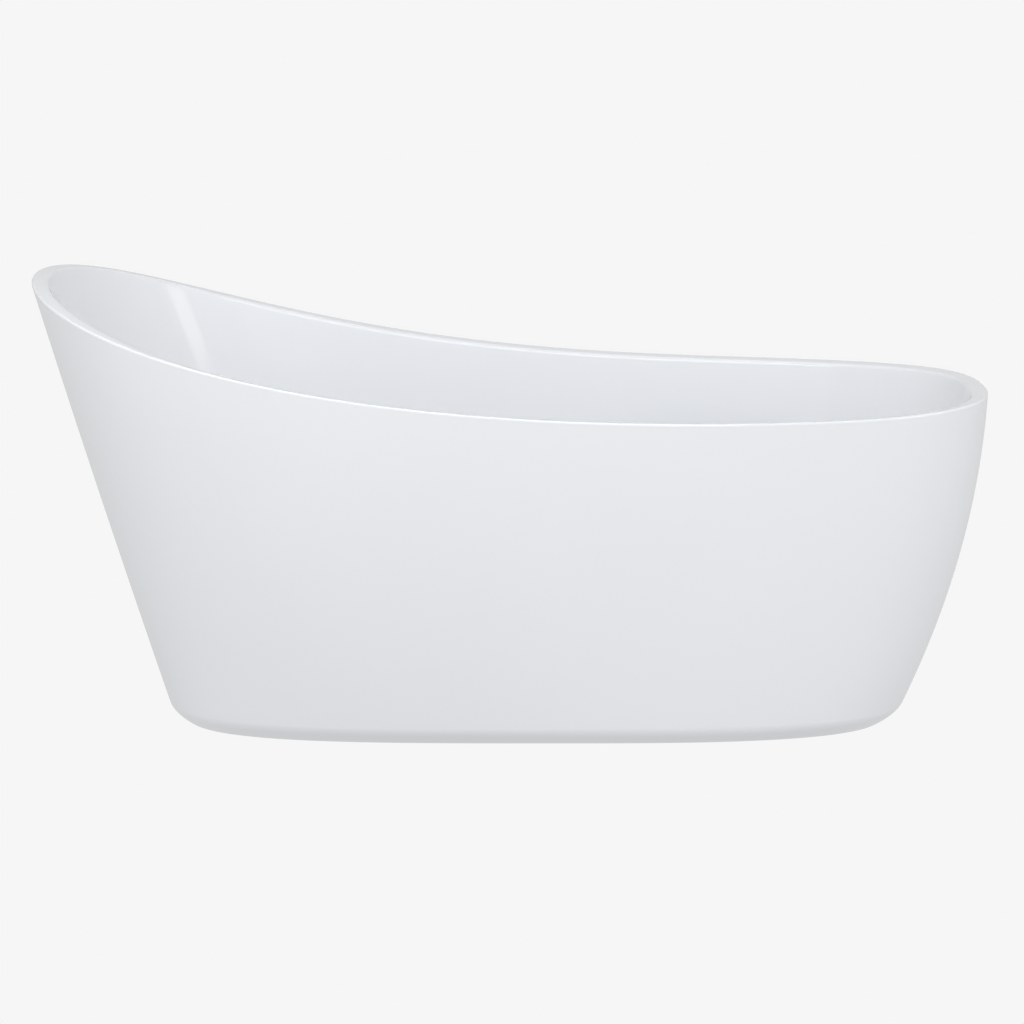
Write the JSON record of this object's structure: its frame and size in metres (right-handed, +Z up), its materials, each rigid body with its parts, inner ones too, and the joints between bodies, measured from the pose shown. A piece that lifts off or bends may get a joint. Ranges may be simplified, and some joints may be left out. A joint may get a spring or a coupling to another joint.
{
  "type": "freestanding bathtub",
  "caption": "Freestanding single slipper bathtub: double-wall shell with a raised head end and a flat lip, on a hidden steel frame with levelling feet, waste and overflow.",
  "frame": {"origin": "on the floor, under the middle of the bathtub's length and width", "axes": "+Z up, +X along the length to the drain end, -X to the raised head end, +Y across the width"},
  "size_m": [1.5, 0.75, 0.72],
  "materials": {
    "acrylic_white": "high gloss white acrylic",
    "laminate": "rough glass fibre laminate",
    "plywood": "bare plywood",
    "galvanised_steel": "galvanised",
    "zinc_fasteners": "bright zinc plated",
    "foot_pads": "matte black rubber",
    "chrome": "polished chrome plate",
    "brass_sleeve": "machined brass",
    "black_rubber": "moulded rubber",
    "waste_plastic": "moulded white plastic",
    "hose_plastic": "corrugated grey plastic"
  },
  "bodies": {
    "tub": {"basin": "acrylic_white", "basin_backing": "laminate", "outer_skirt": "acrylic_white", "floor_board": "plywood", "frame_rail_left": "galvanised_steel", "frame_rail_right": "galvanised_steel", "frame_cross_head": "galvanised_steel", "frame_cross_middle": "galvanised_steel", "frame_cross_drain": "galvanised_steel", "frame_screws": "zinc_fasteners", "skirt_brackets": "galvanised_steel", "bracket_screws": "zinc_fasteners", "weld_nuts": "zinc_fasteners", "foot_lock_nuts": "zinc_fasteners", "drain_flange": "chrome", "drain_seal": "black_rubber", "drain_gasket": "black_rubber", "drain_body": "waste_plastic", "drain_cartridge": "brass_sleeve", "outlet_tube": "waste_plastic", "outlet_nut": "waste_plastic", "overflow_cover": "chrome", "overflow_screw": "zinc_fasteners", "overflow_ring": "waste_plastic", "overflow_gasket": "black_rubber", "overflow_elbow": "waste_plastic", "overflow_hose": "hose_plastic", "hose_nuts": "zinc_fasteners"},
    "stopper": {"drain_stopper": "chrome", "stopper_seal": "black_rubber"},
    "foot_pad_head_left": {"pad_head_left": "foot_pads"},
    "foot_stud_head_left": {"stud_head_left": "zinc_fasteners"},
    "foot_pad_head_right": {"pad_head_right": "foot_pads"},
    "foot_stud_head_right": {"stud_head_right": "zinc_fasteners"},
    "foot_pad_drain_left": {"pad_drain_left": "foot_pads"},
    "foot_stud_drain_left": {"stud_drain_left": "zinc_fasteners"},
    "foot_pad_drain_right": {"pad_drain_right": "foot_pads"},
    "foot_stud_drain_right": {"stud_drain_right": "zinc_fasteners"},
    "foot_pad_centre": {"pad_centre": "foot_pads"},
    "foot_stud_centre": {"stud_centre": "zinc_fasteners"}
  },
  "joints": [
    {"name": "stopper_lift", "type": "slide", "parent": "tub", "child": "stopper", "axis": [0, 0, 1], "range_m": [0, 0.008]},
    {"name": "pad_travel_head_left", "type": "slide", "parent": "tub", "child": "foot_pad_head_left", "axis": [0, 0, -1], "range_m": [-0.002, 0.015]},
    {"name": "stud_turn_head_left", "type": "hinge", "parent": "foot_pad_head_left", "child": "foot_stud_head_left", "pos_m": [-0.395, 0.12, 0.02], "axis": [0, 0, -1], "range_deg": [-412, 3086]},
    {"name": "pad_travel_head_right", "type": "slide", "parent": "tub", "child": "foot_pad_head_right", "axis": [0, 0, -1], "range_m": [-0.002, 0.015]},
    {"name": "stud_turn_head_right", "type": "hinge", "parent": "foot_pad_head_right", "child": "foot_stud_head_right", "pos_m": [-0.395, -0.12, 0.02], "axis": [0, 0, -1], "range_deg": [-412, 3086]},
    {"name": "pad_travel_drain_left", "type": "slide", "parent": "tub", "child": "foot_pad_drain_left", "axis": [0, 0, -1], "range_m": [-0.002, 0.015]},
    {"name": "stud_turn_drain_left", "type": "hinge", "parent": "foot_pad_drain_left", "child": "foot_stud_drain_left", "pos_m": [0.465, 0.12, 0.02], "axis": [0, 0, -1], "range_deg": [-412, 3086]},
    {"name": "pad_travel_drain_right", "type": "slide", "parent": "tub", "child": "foot_pad_drain_right", "axis": [0, 0, -1], "range_m": [-0.002, 0.015]},
    {"name": "stud_turn_drain_right", "type": "hinge", "parent": "foot_pad_drain_right", "child": "foot_stud_drain_right", "pos_m": [0.465, -0.12, 0.02], "axis": [0, 0, -1], "range_deg": [-412, 3086]},
    {"name": "pad_travel_centre", "type": "slide", "parent": "tub", "child": "foot_pad_centre", "axis": [0, 0, -1], "range_m": [-0.002, 0.015]},
    {"name": "stud_turn_centre", "type": "hinge", "parent": "foot_pad_centre", "child": "foot_stud_centre", "pos_m": [-0.06, 0, 0.02], "axis": [0, 0, -1], "range_deg": [-412, 3086]}
  ],
  "couplings": [
    {"joint": "stud_turn_head_left", "follows": "pad_travel_head_left", "rad_per_m": 3590.4},
    {"joint": "stud_turn_head_right", "follows": "pad_travel_head_right", "rad_per_m": 3590.4},
    {"joint": "stud_turn_drain_left", "follows": "pad_travel_drain_left", "rad_per_m": 3590.4},
    {"joint": "stud_turn_drain_right", "follows": "pad_travel_drain_right", "rad_per_m": 3590.4},
    {"joint": "stud_turn_centre", "follows": "pad_travel_centre", "rad_per_m": 3590.4}
  ]
}
